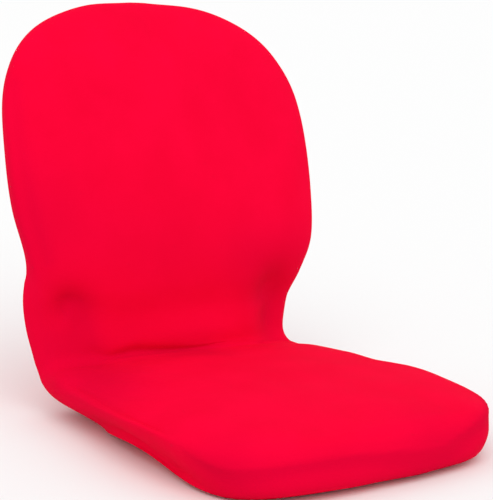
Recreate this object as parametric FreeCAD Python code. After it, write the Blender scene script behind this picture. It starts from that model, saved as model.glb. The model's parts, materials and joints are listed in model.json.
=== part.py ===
import FreeCAD, Part
import functools
import math
import os

# Padded seat and backrest unit in a one-piece stretch cover.
# Millimetres, +Z up. The sitter faces -Y and +X is the sitter's left.
# The origin is the centre of the four base inserts, on the mounting face.

V = FreeCAD.Vector
X_AXIS = V(1, 0, 0)
Z_AXIS = V(0, 0, 1)

# ---- outer shape of the covered back ----
BACK_TOP_Z = 500.0          # top edge above the mounting face
BACK_WIDE_Z = 320.0         # height of the widest rib
BACK_HALF = 236.5           # half width at the widest rib, sitter's side
BACK_REAR_STEP = 18.0       # how much narrower the rear side is, each side
BACK_THICK = 67.0
HEAD_POWER = 2.54           # roundness of the head: 2 is an ellipse
LUMBAR_Y = 184.5            # middle of the back at lumbar height
LUMBAR_Z = 196.0
LUMBAR_TAPER = 11.0         # how much narrower the lumbar is than the back, each side
BACK_TILT = 14.0            # degrees from upright at the lumbar
BACK_SWEEP_R = 1520.0       # radius that curves the back rearwards
HEAD_RIBS = 6
HEAD_LAST_ANGLE = 88.6      # degrees; the top rib stops just short of a point
CROWN_SQUARENESS = 2.4      # squareness of the top rib: 2 is an ellipse
CROWN_EASE = 1.2            # how fast the ribs grow square below the top
BACK_SQUARENESS = 3.4

# ---- waist between back and seat; tapers are measured from BACK_HALF, front and rear ----
NOTCH_FRONT = (148.0, 161.0)
NOTCH_REAR = (225.0, 139.0)
NOTCH_TAPER = (37.0, 17.0)
NECK_FRONT = (152.5, 123.0)
NECK_REAR = (229.0, 101.0)
NECK_TAPER = (56.0, 20.0)
WAIST_FRONT = (149.0, 87.0)
WAIST_REAR = (224.0, 64.0)
WAIST_TAPER = (63.0, 30.0)
WAIST_SQUARENESS = 3.1
CREASE_TAPER = (52.0, 42.0)

# ---- outer shape of the covered seat ----
CREASE_Y = 149.0
CREASE_Z = 65.0
SEAT_TOP_Z = 79.0
SEAT_REAR_Y = 216.0
SEAT_REAR_Z = 41.0
REAR_TUCK = 31.0            # how far the rear face runs in under the seat
NOSE_START_Y = -130.0       # where the flat top begins to roll over
SEAT_FRONT_Y = -241.0
NOSE_Z = 14.0
HEM_Z = 3.0
HEM_FRONT_Y = -220.0
HEM_REAR_Y = 164.0
SEAT_HALF = (241.0, 172.0)  # half widths where the front rolls over, front and rear
NOSE_POWER = 2.8            # fullness of the front edge: 2 is an ellipse
NOSE_ANGLES = (43.0, 75.0, 90.0)
NOSE_TAPERS = ((1.0, 4.0), (13.0, 12.0), (27.0, 18.0))
HEM_TAPER = (27.0, 22.0)
TOP_STEPS = (0.23, 0.56, 1.0)
CREASE_SQUARENESS = 3.4
TOP_SQUARENESS = 3.8
SEAT_SQUARENESS = 4.0
RING_POINTS = 32

# ---- cover, hem and padding ----
COVER_T = 2.0
HEM_TURN = 45.0             # how far the cover turns in under the seat
ELASTIC_R = 3.0
ELASTIC_INSET = 7.0         # elastic centre to the hem's edge
ELASTIC_GAP = 0.5
FOAM_GAP = 0.5

# ---- seat pan, shell and base inserts ----
PAN_T = 12.0
PAN_Z = 16.0
PAN_INSET = 8.0             # pan's edge to the inside of the cover
SHELL_WALL = 3.0
SHELL_GAP = 6.0             # between hem edge and shell
INSERT_SPACING_X = 160.0
INSERT_SPACING_Y = 160.0
INSERT_BORE_R = 3.4
INSERT_BARREL_R = 5.0
INSERT_FLANGE_R = 11.0
INSERT_FLANGE_T = 1.6
BOSS_R = 13.0
SHELL_SCREW_FRONT = (105.0, -130.0)
SHELL_SCREW_REAR = (58.0, 92.0)
SHELL_SCREW_R = 2.0
SHELL_SCREW_HEAD_R = 4.5
SHELL_SCREW_HEAD_T = 2.6
SHELL_SCREW_GRIP = 9.0
SCREW_BOSS_R = 8.0
SCREW_RECESS = 4.0
SCREW_HEAD_GAP = 0.2
SHELL_RIB_YS = (-110.0, -30.0, 50.0)
DRIVE_R = 1.2

# ---- recline pivot ----
PIVOT_Y = 180.0
PIVOT_Z = 62.0
PIVOT_BOLT_R = 6.0
SLEEVE_R = 9.0
RUBBER_R = 15.0
TUBE_R = 18.0
TUBE_LENGTH = 100.0
RUNNING_GAP = 0.05
END_GAP = 2.0               # tube end to bracket ear
BOLT_CLEARANCE = 0.3
PIVOT_HEAD_AF = 19.0
PIVOT_HEAD_T = 7.5
PIVOT_NUT_T = 10.0
PIVOT_WASHER_R = 12.0
PIVOT_WASHER_T = 2.5
PIVOT_BOLT_TAIL = 3.0

# ---- hinge brackets ----
EAR_T = 4.0
FLANGE_T = 4.0
FLANGE_WIDTH = 34.0
BRACKET_FRONT_Y = 112.0
BRACKET_REAR_Y = 194.0
EAR_R = 17.0
BRACKET_BOLT_YS = (128.0, 172.0)
M8_R = 4.0
M8_HEAD_AF = 13.0
M8_HEAD_T = 5.3
M8_NUT_T = 6.5
M8_WASHER_R = 8.4
M8_WASHER_T = 1.6
M8_TAIL = 2.0

# ---- recline stop ----
RECLINE_RANGE = 15.0
LUG_WIDTH = 30.0
LUG_T = 8.0
LUG_TIP = 27.0              # from the pivot axis
STOP_GAP = 0.4
STOP_WIDTH = 44.0
STOP_FLOOR = 4.0
STOP_WALL = 8.0
STOP_RISE = 13.0
STOP_SCREW_R = 2.0
STOP_SCREW_HEAD_R = 3.6
STOP_SCREW_HEAD_T = 2.4
STOP_SCREW_X = 17.0
STOP_TUBE_GAP = 1.0

# ---- back upright and panel ----
UPRIGHT_WIDTH = 60.0
UPRIGHT_T = 6.0
UPRIGHT_TOP = 170.0         # length up the panel
PANEL_T = 12.0
PANEL_INSET = 12.0
PANEL_Y = 193.0             # rear face of the panel at PANEL_FOOT_Z
PANEL_FOOT_Z = 140.0
PANEL_TILT = 14.0
BACK_BOLT_X = 18.0
BACK_BOLT_RISES = (55.0, 140.0)

# ---- clear space in the padding round the metalwork ----
POCKET_MARGIN = 5.0
HEAD_POCKET_R = 12.0
HEAD_POCKET_GAP = 1.0       # past the end of a bolt head

# ---- cutting bodies ----
OVERRUN = 1.0               # how far a hole's cutter runs past the faces it opens
BIG = 900.0                 # larger than the whole unit
OUTLINE_POINTS = 64


def mirror_x(shape):
    return shape.mirror(V(0, 0, 0), X_AXIS)


def cylinder(radius, start, direction, length):
    return Part.makeCylinder(radius, length, start, direction)


def bore(radius, start, direction, length):
    """Cutter for a round hole, which runs past both ends."""
    return cylinder(radius, start - direction * OVERRUN, direction, length + 2 * OVERRUN)


def block(x0, x1, y0, y1, z0, z1):
    return Part.makeBox(x1 - x0, y1 - y0, z1 - z0, V(x0, y0, z0))


def hexagon(across_flats, start, direction, length):
    """Hexagonal prism, such as a bolt head or nut."""
    radius = across_flats / math.sqrt(3)
    corners = [V(radius * math.cos(k * math.pi / 3), radius * math.sin(k * math.pi / 3), 0)
               for k in range(7)]
    prism = Part.Face(Part.makePolygon(corners)).extrude(V(0, 0, length))
    prism.Placement = FreeCAD.Placement(start, FreeCAD.Rotation(Z_AXIS, direction))
    return prism


def join(shapes):
    """One solid from pieces that overlap or share faces."""
    result = shapes[0].multiFuse(shapes[1:]) if len(shapes) > 1 else shapes[0]
    return result.removeSplitter()


def group(shapes):
    return Part.makeCompound(shapes)


def smooth_loop(points):
    """Closed smooth curve through points."""
    curve = Part.BSplineCurve()
    curve.interpolate(Points=points, PeriodicFlag=True)
    return Part.Wire([curve.toShape()])


# ---- the cover's ribs ----

CREASE_HALF = (BACK_HALF - CREASE_TAPER[0], BACK_HALF - CREASE_TAPER[1])
HEM_HALF = (SEAT_HALF[0] - HEM_TAPER[0], SEAT_HALF[1] - HEM_TAPER[1])


def rib(front, rear, half, squareness):
    return {"front": front, "rear": rear, "half": half, "squareness": squareness}


def tapered(half, taper):
    """Half widths front and rear, each less its taper."""
    return tuple(h - t for h, t in zip(half, taper))


def back_middle(z):
    """Y of the back's middle surface at height z."""
    rise = z - LUMBAR_Z
    return LUMBAR_Y + math.tan(math.radians(BACK_TILT)) * rise + rise * rise / (2 * BACK_SWEEP_R)


def back_rib(z, scale, half_front, level):
    """Rib across the back. Level goes from 0, square to the back, to 1, horizontal."""
    slope = math.atan(math.tan(math.radians(BACK_TILT)) + (z - LUMBAR_Z) / BACK_SWEEP_R)
    slope = slope * (1 - level)
    reach = BACK_THICK * scale / 2
    y = back_middle(z)
    front = (y - reach * math.cos(slope), z + reach * math.sin(slope))
    rear = (y + reach * math.cos(slope), z - reach * math.sin(slope))
    half_rear = half_front - BACK_REAR_STEP * scale
    squareness = min(BACK_SQUARENESS, CROWN_SQUARENESS + CROWN_EASE * scale)
    return rib(front, rear, (half_front, half_rear), squareness)


def head_ribs():
    """Ribs from the top of the back down to its widest height."""
    result = []
    for step in range(HEAD_RIBS, -1, -1):
        angle = math.radians(min(90.0 * step / HEAD_RIBS, HEAD_LAST_ANGLE))
        rise = math.sin(angle) ** (2 / HEAD_POWER)
        scale = math.cos(angle) ** (2 / HEAD_POWER)
        z = BACK_WIDE_Z + (BACK_TOP_Z - BACK_WIDE_Z) * rise
        result.append(back_rib(z, scale, BACK_HALF * scale, rise ** 3))
    return result


def waist_ribs():
    halves = (BACK_HALF, BACK_HALF)
    return [
        back_rib((BACK_WIDE_Z + LUMBAR_Z) / 2, 1.0, BACK_HALF, 0.0),
        back_rib(LUMBAR_Z, 1.0, BACK_HALF - LUMBAR_TAPER, 0.0),
        rib(NOTCH_FRONT, NOTCH_REAR, tapered(halves, NOTCH_TAPER), WAIST_SQUARENESS),
        rib(NECK_FRONT, NECK_REAR, tapered(halves, NECK_TAPER), WAIST_SQUARENESS),
        rib(WAIST_FRONT, WAIST_REAR, tapered(halves, WAIST_TAPER), WAIST_SQUARENESS),
        rib((CREASE_Y, CREASE_Z), (SEAT_REAR_Y, SEAT_REAR_Z), CREASE_HALF, CREASE_SQUARENESS),
    ]


def seat_ribs():
    """Ribs that fan over the seat, from the crease to the hem."""
    result = []
    for step in TOP_STEPS:
        front = (CREASE_Y + (NOSE_START_Y - CREASE_Y) * step,
                 CREASE_Z + (SEAT_TOP_Z - CREASE_Z) * (1 - (1 - step) ** 4))
        rear = (SEAT_REAR_Y - REAR_TUCK * step,
                HEM_Z + (SEAT_REAR_Z - HEM_Z) * (1 - step) ** 3)
        half = tuple(a + (b - a) * step for a, b in zip(CREASE_HALF, SEAT_HALF))
        result.append(rib(front, rear, half, TOP_SQUARENESS))
    tuck_start = SEAT_REAR_Y - REAR_TUCK
    for index, (degrees, taper) in enumerate(zip(NOSE_ANGLES, NOSE_TAPERS), 1):
        out = math.sin(math.radians(degrees)) ** (2 / NOSE_POWER)
        up = max(math.cos(math.radians(degrees)), 0.0) ** (2 / NOSE_POWER)
        front = (NOSE_START_Y + (SEAT_FRONT_Y - NOSE_START_Y) * out,
                 NOSE_Z + (SEAT_TOP_Z - NOSE_Z) * up)
        share = index / (len(NOSE_ANGLES) + 1)
        rear = (tuck_start + (HEM_REAR_Y - tuck_start) * share, HEM_Z)
        result.append(rib(front, rear, tapered(SEAT_HALF, taper), SEAT_SQUARENESS))
    result.append(rib((HEM_FRONT_Y, HEM_Z), (HEM_REAR_Y, HEM_Z), HEM_HALF, SEAT_SQUARENESS))
    return result


RIBS = head_ribs() + waist_ribs() + seat_ribs()
NECK_RIB = HEAD_RIBS + 4
CREASE_RIB = HEAD_RIBS + 6


def shifted(points, index, distance, side):
    """A profile point moved square to the profile, into the padding."""
    before = points[max(index - 1, 0)]
    after = points[min(index + 1, len(points) - 1)]
    dy = after[0] - before[0]
    dz = after[1] - before[1]
    length = math.hypot(dy, dz)
    y, z = points[index]
    return (y - side * dz / length * distance, z + side * dy / length * distance)


def inset_ribs(distance):
    fronts = [r["front"] for r in RIBS]
    rears = [r["rear"] for r in RIBS]
    result = []
    for index, r in enumerate(RIBS):
        front = shifted(fronts, index, distance, 1)
        rear = shifted(rears, index, distance, -1)
        half = tuple(max(h - distance, 1.0) for h in r["half"])
        result.append(rib(front, rear, half, r["squareness"]))
    hem = result[-1]
    hem["front"] = (HEM_FRONT_Y + distance, HEM_Z + distance)
    hem["rear"] = (HEM_REAR_Y - distance, HEM_Z + distance)
    return result


def rib_wire(r):
    """Closed rounded-rectangle curve in the rib's own plane."""
    points = []
    power = r["squareness"]
    for k in range(RING_POINTS):
        angle = math.pi / 2 + 2 * math.pi * k / RING_POINTS
        c = math.cos(angle)
        s = math.sin(angle)
        radius = (abs(c) ** power + abs(s) ** power) ** (-1 / power)
        across = radius * c
        along = (radius * s + 1) / 2
        half = r["half"][0] + (r["half"][1] - r["half"][0]) * along
        y = r["front"][0] + (r["rear"][0] - r["front"][0]) * along
        z = r["front"][1] + (r["rear"][1] - r["front"][1]) * along
        points.append(V(half * across, y, z))
    return smooth_loop(points)


@functools.cache
def envelope(distance):
    """Solid of the covered unit, taken in by a distance all round."""
    return Part.makeLoft([rib_wire(r) for r in inset_ribs(distance)], True, False)


def above_line(front, rear):
    """Everything above the plane through a rib's line, across the whole width."""
    angle = math.degrees(math.atan2(rear[1] - front[1], rear[0] - front[0]))
    solid = Part.makeBox(2 * BIG, 2 * BIG, BIG, V(-BIG, -BIG, 0))
    solid.Placement = FreeCAD.Placement(V(0, front[0], front[1]), FreeCAD.Rotation(X_AXIS, angle))
    return solid


def above_rib(index):
    return above_line(RIBS[index]["front"], RIBS[index]["rear"])


def drawn_in(outline, normal, distance):
    """Flat closed curve inside another, a distance from it all round."""
    points = outline.discretize(OUTLINE_POINTS + 1)[:-1]
    turn = sum(a.cross(b).dot(normal) for a, b in zip(points, points[1:] + points[:1]))
    if turn < 0:
        points.reverse()
    moved = []
    for before, point, after in zip(points[-1:] + points[:-1], points, points[1:] + points[:1]):
        inward = normal.cross(after - before).normalize()
        moved.append(point + inward * distance)
    return smooth_loop(moved)


def board(distance, normal, start, thickness, below=0.0):
    """Flat board that keeps a distance from the inside of the cover at both of its faces."""
    prisms = []
    for depth in (0.0, thickness):
        outlines = envelope(COVER_T).slice(normal, start.dot(normal) + depth)
        outline = max(outlines, key=lambda wire: wire.Length)
        face = Part.Face(drawn_in(outline, normal, distance))
        face.translate(normal * (-depth - below))
        prisms.append(face.extrude(normal * (thickness + below)))
    return prisms[0].common(prisms[1])


# ---- the panel's own plane ----

def panel_point(rise, depth):
    """Y and Z of a point: rise up the panel from its foot, depth in front of its rear face."""
    tilt = math.radians(PANEL_TILT)
    return (PANEL_Y + rise * math.sin(tilt) - depth * math.cos(tilt),
            PANEL_FOOT_Z + rise * math.cos(tilt) + depth * math.sin(tilt))


def behind_panel(depth):
    """Everything behind a plane parallel to the panel, depth in front of its rear face."""
    low = panel_point(0.0, depth)
    high = panel_point(1.0, depth)
    return above_line(high, low)


def panel_normal():
    tilt = math.radians(PANEL_TILT)
    return V(0, -math.cos(tilt), math.sin(tilt))


def on_panel(x, rise, depth):
    y, z = panel_point(rise, depth)
    return V(x, y, z)


# ---- places of the fasteners ----

EAR_X = TUBE_LENGTH / 2 + END_GAP
FLANGE_OUT_X = EAR_X + FLANGE_WIDTH
BRACKET_BOLT_X = EAR_X + EAR_T + (FLANGE_WIDTH - EAR_T) / 2
PAN_TOP = PAN_Z + PAN_T
UPRIGHT_FOOT_Y = PIVOT_Y + TUBE_R - UPRIGHT_T / 2

insert_places = [V(sx * INSERT_SPACING_X / 2, sy * INSERT_SPACING_Y / 2, 0)
                 for sx in (-1, 1) for sy in (-1, 1)]
shell_screw_places = [V(sx * x, y, 0)
                      for sx in (-1, 1) for x, y in (SHELL_SCREW_FRONT, SHELL_SCREW_REAR)]
bracket_bolt_places = [V(sx * BRACKET_BOLT_X, y, 0) for sx in (-1, 1) for y in BRACKET_BOLT_YS]
back_bolt_places = [(sx * BACK_BOLT_X, rise) for sx in (-1, 1) for rise in BACK_BOLT_RISES]


# ---- seat: pan, shell, inserts ----

def hem_outline(distance):
    """The hem's outline drawn in by a distance, as a flat face at height 0."""
    front = (HEM_FRONT_Y + distance, 0.0)
    rear = (HEM_REAR_Y - distance, 0.0)
    half = tuple(h - distance for h in HEM_HALF)
    return Part.Face(rib_wire(rib(front, rear, half, SEAT_SQUARENESS)))


def hem_prism(distance, z0, z1):
    face = hem_outline(distance)
    face.translate(V(0, 0, z0))
    return face.extrude(V(0, 0, z1 - z0))


def make_seat_pan():
    pan = board(PAN_INSET, Z_AXIS, V(0, 0, PAN_Z), PAN_T)
    under = V(0, 0, PAN_Z)
    holes = [bore(INSERT_BARREL_R, p + under, Z_AXIS, PAN_T) for p in insert_places]
    holes += [cylinder(INSERT_FLANGE_R, p + V(0, 0, PAN_TOP - INSERT_FLANGE_T), Z_AXIS, PAN_T)
              for p in insert_places]
    holes += [bore(M8_R + BOLT_CLEARANCE, p + under, Z_AXIS, PAN_T) for p in bracket_bolt_places]
    holes += [cylinder(SHELL_SCREW_R, p, Z_AXIS, PAN_Z + SHELL_SCREW_GRIP)
              for p in shell_screw_places]
    holes += [cylinder(STOP_SCREW_R, p + V(0, 0, PAN_TOP - SHELL_SCREW_GRIP), Z_AXIS, PAN_T)
              for p in stop_screw_places()]
    return pan.cut(group(holes))


def make_seat_shell():
    """Dished underside moulding with a boss round each insert and screw."""
    inset = HEM_TURN + SHELL_GAP
    outer = hem_prism(inset, 0.0, PAN_Z)
    hollow = hem_prism(inset + SHELL_WALL, SHELL_WALL, PAN_Z + OVERRUN)
    tray = outer.cut(hollow)
    bosses = [cylinder(BOSS_R, p, Z_AXIS, PAN_Z) for p in insert_places]
    bosses += [cylinder(SCREW_BOSS_R, p, Z_AXIS, PAN_Z) for p in shell_screw_places]
    ribs = [block(-BIG, BIG, y - SHELL_WALL / 2, y + SHELL_WALL / 2, SHELL_WALL / 2, PAN_Z)
            for y in SHELL_RIB_YS]
    tray = join([tray] + bosses + [r.common(outer) for r in ribs])
    holes = [bore(INSERT_BARREL_R, p, Z_AXIS, PAN_Z) for p in insert_places]
    holes += [bore(SHELL_SCREW_R, p, Z_AXIS, PAN_Z) for p in shell_screw_places]
    holes += [bore(SHELL_SCREW_HEAD_R + SCREW_HEAD_GAP, p, Z_AXIS, SCREW_RECESS - OVERRUN)
              for p in shell_screw_places]
    return tray.cut(group(holes))


def make_base_inserts():
    """Four threaded sleeves with a flange over the pan."""
    pieces = []
    for p in insert_places:
        barrel = cylinder(INSERT_BARREL_R, p, Z_AXIS, PAN_TOP)
        flange = cylinder(INSERT_FLANGE_R, p + V(0, 0, PAN_TOP - INSERT_FLANGE_T), Z_AXIS,
                          INSERT_FLANGE_T)
        thread = bore(INSERT_BORE_R, p, Z_AXIS, PAN_TOP)
        pieces.append(join([barrel, flange]).cut(thread))
    return group(pieces)


def make_shell_screws():
    pieces = []
    for p in shell_screw_places:
        under = SCREW_RECESS - SHELL_SCREW_HEAD_T
        head = cylinder(SHELL_SCREW_HEAD_R, p + V(0, 0, under), Z_AXIS, SHELL_SCREW_HEAD_T)
        shank = cylinder(SHELL_SCREW_R, p + V(0, 0, SCREW_RECESS), Z_AXIS,
                         PAN_Z - SCREW_RECESS + SHELL_SCREW_GRIP)
        drive = cylinder(DRIVE_R, p + V(0, 0, under), Z_AXIS, SHELL_SCREW_HEAD_T / 2)
        pieces.append(join([head, shank]).cut(drive))
    return group(pieces)


# ---- recline hinge, seat side ----

def make_bracket():
    """Left-hand angle bracket: a flange bolted to the pan and an ear round the pivot."""
    flange = block(EAR_X, FLANGE_OUT_X, BRACKET_FRONT_Y, BRACKET_REAR_Y, PAN_TOP, PAN_TOP + FLANGE_T)
    ear_start = V(EAR_X, PIVOT_Y, PIVOT_Z)
    top = cylinder(EAR_R, ear_start, X_AXIS, EAR_T)
    slope = (PIVOT_Z - PAN_TOP) / (PIVOT_Y - EAR_R - BRACKET_FRONT_Y)
    shoulder = PAN_TOP + FLANGE_T + slope * EAR_R
    outline = [V(EAR_X, BRACKET_FRONT_Y, PAN_TOP), V(EAR_X, BRACKET_REAR_Y, PAN_TOP),
               V(EAR_X, PIVOT_Y + EAR_R, PIVOT_Z), V(EAR_X, PIVOT_Y - EAR_R, PIVOT_Z),
               V(EAR_X, BRACKET_FRONT_Y, shoulder), V(EAR_X, BRACKET_FRONT_Y, PAN_TOP)]
    web = Part.Face(Part.makePolygon(outline)).extrude(V(EAR_T, 0, 0))
    holes = [bore(PIVOT_BOLT_R + BOLT_CLEARANCE, ear_start, X_AXIS, EAR_T)]
    holes += [bore(M8_R + BOLT_CLEARANCE, p + V(0, 0, PAN_TOP), Z_AXIS, FLANGE_T)
              for p in bracket_bolt_places]
    return join([flange, web, top]).cut(group(holes))


def make_pivot_bolt():
    head_x = -EAR_X - EAR_T - PIVOT_WASHER_T
    tail_x = EAR_X + EAR_T + PIVOT_WASHER_T + PIVOT_NUT_T + PIVOT_BOLT_TAIL
    shank = cylinder(PIVOT_BOLT_R, V(head_x, PIVOT_Y, PIVOT_Z), X_AXIS, tail_x - head_x)
    head = hexagon(PIVOT_HEAD_AF, V(head_x - PIVOT_HEAD_T, PIVOT_Y, PIVOT_Z), X_AXIS, PIVOT_HEAD_T)
    return join([shank, head])


def make_pivot_nut():
    start = V(EAR_X + EAR_T + PIVOT_WASHER_T, PIVOT_Y, PIVOT_Z)
    nut = hexagon(PIVOT_HEAD_AF, start, X_AXIS, PIVOT_NUT_T)
    return nut.cut(bore(PIVOT_BOLT_R, start, X_AXIS, PIVOT_NUT_T))


def make_pivot_washers():
    start = V(EAR_X + EAR_T, PIVOT_Y, PIVOT_Z)
    disc = cylinder(PIVOT_WASHER_R, start, X_AXIS, PIVOT_WASHER_T)
    washer = disc.cut(bore(PIVOT_BOLT_R + BOLT_CLEARANCE, start, X_AXIS, PIVOT_WASHER_T))
    return group([washer, mirror_x(washer)])


def make_pivot_sleeve():
    """Inner sleeve clamped between the ears, which holds the torsion rubber."""
    start = V(-EAR_X, PIVOT_Y, PIVOT_Z)
    sleeve = cylinder(SLEEVE_R, start, X_AXIS, 2 * EAR_X)
    return sleeve.cut(bore(PIVOT_BOLT_R + BOLT_CLEARANCE, start, X_AXIS, 2 * EAR_X))


def bolt_set(places, head_z, head_dir, tail, washer_z, nut_z):
    """Bolts, washers and nuts that stand along Z at the given places."""
    bolts = []
    washers = []
    nuts = []
    for p in places:
        head = hexagon(M8_HEAD_AF, p + V(0, 0, head_z), Z_AXIS * head_dir, M8_HEAD_T)
        shank = cylinder(M8_R, p + V(0, 0, head_z), Z_AXIS, tail - head_z)
        bolts.append(join([head, shank]))
        disc = cylinder(M8_WASHER_R, p + V(0, 0, washer_z), Z_AXIS, M8_WASHER_T)
        nut = hexagon(M8_HEAD_AF, p + V(0, 0, nut_z), Z_AXIS, M8_NUT_T)
        washers.append(disc.cut(shank))
        nuts.append(nut.cut(shank))
    return group(bolts), group(washers), group(nuts)


def make_bracket_fasteners():
    washer_z = PAN_TOP + FLANGE_T
    nut_z = washer_z + M8_WASHER_T
    return bolt_set(bracket_bolt_places, PAN_Z, -1, nut_z + M8_NUT_T + M8_TAIL, washer_z, nut_z)


# ---- recline stop ----

def stop_faces():
    """Y of the stop block's front and rear faces, each a gap away from the lug at its limit."""
    turn = math.radians(RECLINE_RANGE)
    swing = LUG_TIP * math.sin(turn) + LUG_T / 2 * math.cos(turn)
    return PIVOT_Y - swing - STOP_GAP, PIVOT_Y + LUG_T / 2 + STOP_GAP


def stop_screw_places():
    front = stop_faces()[0] - STOP_WALL / 2
    return [V(sx * STOP_SCREW_X, front, 0) for sx in (-1, 1)]


def make_stop_block():
    front, rear = stop_faces()
    half = STOP_WIDTH / 2
    body = block(-half, half, front - STOP_WALL, rear + STOP_WALL, PAN_TOP,
                 PAN_TOP + STOP_FLOOR + STOP_RISE)
    floor_z = min(PAN_TOP + STOP_FLOOR, PIVOT_Z - LUG_TIP - STOP_GAP)
    slot = block(-BIG, BIG, front, rear, floor_z, BIG)
    holes = []
    for p in stop_screw_places():
        holes.append(bore(STOP_SCREW_R, p + V(0, 0, PAN_TOP), Z_AXIS, BIG))
        holes.append(cylinder(STOP_SCREW_HEAD_R, p + V(0, 0, PAN_TOP + STOP_FLOOR), Z_AXIS, BIG))
    clear = cylinder(TUBE_R + STOP_TUBE_GAP, V(-BIG / 2, PIVOT_Y, PIVOT_Z), X_AXIS, BIG)
    return body.cut(group([slot] + holes)).cut(clear)


def make_stop_screws():
    pieces = []
    for p in stop_screw_places():
        shank = cylinder(STOP_SCREW_R, p + V(0, 0, PAN_TOP - SHELL_SCREW_GRIP), Z_AXIS,
                         SHELL_SCREW_GRIP + STOP_FLOOR)
        head = cylinder(STOP_SCREW_HEAD_R, p + V(0, 0, PAN_TOP + STOP_FLOOR), Z_AXIS,
                        STOP_SCREW_HEAD_T)
        pieces.append(join([shank, head]))
    return group(pieces)


# ---- recline hinge, back side ----

def tube_ring(outer, inner):
    start = V(-TUBE_LENGTH / 2, PIVOT_Y, PIVOT_Z)
    ring = cylinder(outer, start, X_AXIS, TUBE_LENGTH)
    return ring.cut(bore(inner, start, X_AXIS, TUBE_LENGTH))


def make_stop_lug():
    lug = block(-LUG_WIDTH / 2, LUG_WIDTH / 2, PIVOT_Y - LUG_T / 2, PIVOT_Y + LUG_T / 2,
                PIVOT_Z - LUG_TIP, PIVOT_Z)
    return lug.cut(cylinder(TUBE_R, V(-BIG / 2, PIVOT_Y, PIVOT_Z), X_AXIS, BIG))


def upright_outline():
    """Side outline of the bent upright: a straight foot behind the tube, then up the panel."""
    foot = (UPRIGHT_FOOT_Y, PIVOT_Z - TUBE_R / 2)
    knee = panel_point(0.0, PANEL_T)
    top = panel_point(UPRIGHT_TOP, PANEL_T)
    top_front = panel_point(UPRIGHT_TOP, PANEL_T + UPRIGHT_T)
    knee_front = (knee[0] - UPRIGHT_T, knee[1] + UPRIGHT_T * math.tan(math.radians(PANEL_TILT) / 2))
    points = [(foot[0], foot[1]), (foot[0] + UPRIGHT_T, foot[1]), knee, top, top_front, knee_front]
    return [V(-UPRIGHT_WIDTH / 2, y, z) for y, z in points + points[:1]]


def make_back_upright():
    bar = Part.Face(Part.makePolygon(upright_outline())).extrude(V(UPRIGHT_WIDTH, 0, 0))
    tube = cylinder(TUBE_R, V(-BIG / 2, PIVOT_Y, PIVOT_Z), X_AXIS, BIG)
    holes = [bore(M8_R + BOLT_CLEARANCE, on_panel(x, rise, PANEL_T), panel_normal(), UPRIGHT_T)
             for x, rise in back_bolt_places]
    return bar.cut(tube).cut(group(holes))


def make_back_panel():
    panel = board(PANEL_INSET, panel_normal(), on_panel(0, 0, 0), PANEL_T)
    panel = panel.common(above_line(panel_point(0.0, 0.0), panel_point(0.0, -1.0)))
    holes = [bore(M8_R + BOLT_CLEARANCE, on_panel(x, rise, 0), panel_normal(), PANEL_T)
             for x, rise in back_bolt_places]
    return panel.cut(group(holes))


def make_back_fasteners():
    """Bolts from behind the panel, with washers under the heads and nuts on the upright."""
    bolts = []
    washers = []
    nuts = []
    normal = panel_normal()
    for x, rise in back_bolt_places:
        start = on_panel(x, rise, -M8_WASHER_T)
        nut_at = on_panel(x, rise, PANEL_T + UPRIGHT_T)
        grip = PANEL_T + UPRIGHT_T + M8_WASHER_T + M8_NUT_T + M8_TAIL
        shank = cylinder(M8_R, start, normal, grip)
        head = hexagon(M8_HEAD_AF, start, normal * -1, M8_HEAD_T)
        bolts.append(join([head, shank]))
        washers.append(cylinder(M8_WASHER_R, start, normal, M8_WASHER_T).cut(shank))
        nuts.append(hexagon(M8_HEAD_AF, nut_at, normal, M8_NUT_T).cut(shank))
    return group(bolts), group(washers), group(nuts)


# ---- padding ----

def seat_hinge_pocket():
    """Clear space in the seat padding round the brackets and the tube."""
    half = FLANGE_OUT_X + POCKET_MARGIN
    room = block(-half, half, BRACKET_FRONT_Y - POCKET_MARGIN, BIG, PAN_TOP, BIG)
    heads = [cylinder(HEAD_POCKET_R, p, Z_AXIS, PAN_Z) for p in bracket_bolt_places]
    return group([room] + heads)


def make_seat_foam(core):
    """Moulded padding over the pan and round its rim."""
    foam = core.cut(above_rib(CREASE_RIB))
    pan_space = board(PAN_INSET - FOAM_GAP, Z_AXIS, V(0, 0, PAN_Z), PAN_T, FOAM_GAP)
    tunnel = HEM_TURN - ELASTIC_INSET - ELASTIC_R - ELASTIC_GAP
    under = hem_prism(tunnel, 0.0, PAN_Z)
    return foam.cut(pan_space).cut(under).cut(seat_hinge_pocket())


def back_hinge_pocket():
    """Clear space in the back padding round the upright, its nuts and the bolt heads."""
    half = UPRIGHT_WIDTH / 2 + POCKET_MARGIN
    depth = UPRIGHT_T + M8_WASHER_T + M8_NUT_T + POCKET_MARGIN
    foot = panel_point(-BACK_THICK, PANEL_T - FOAM_GAP)
    length = BACK_THICK + UPRIGHT_TOP + POCKET_MARGIN
    room = Part.makeBox(2 * half, depth + FOAM_GAP, length, V(-half, -depth - FOAM_GAP, 0))
    room.Placement = FreeCAD.Placement(V(0, foot[0], foot[1]),
                                       FreeCAD.Rotation(X_AXIS, -PANEL_TILT))
    return room


def make_back_foam(core):
    """Front padding, which also wraps the panel's rim."""
    foam = core.common(above_rib(NECK_RIB)).cut(behind_panel(0.0))
    panel_space = board(PANEL_INSET - FOAM_GAP, panel_normal(), on_panel(0, 0, 0), PANEL_T)
    return foam.cut(panel_space).cut(back_hinge_pocket())


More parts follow.
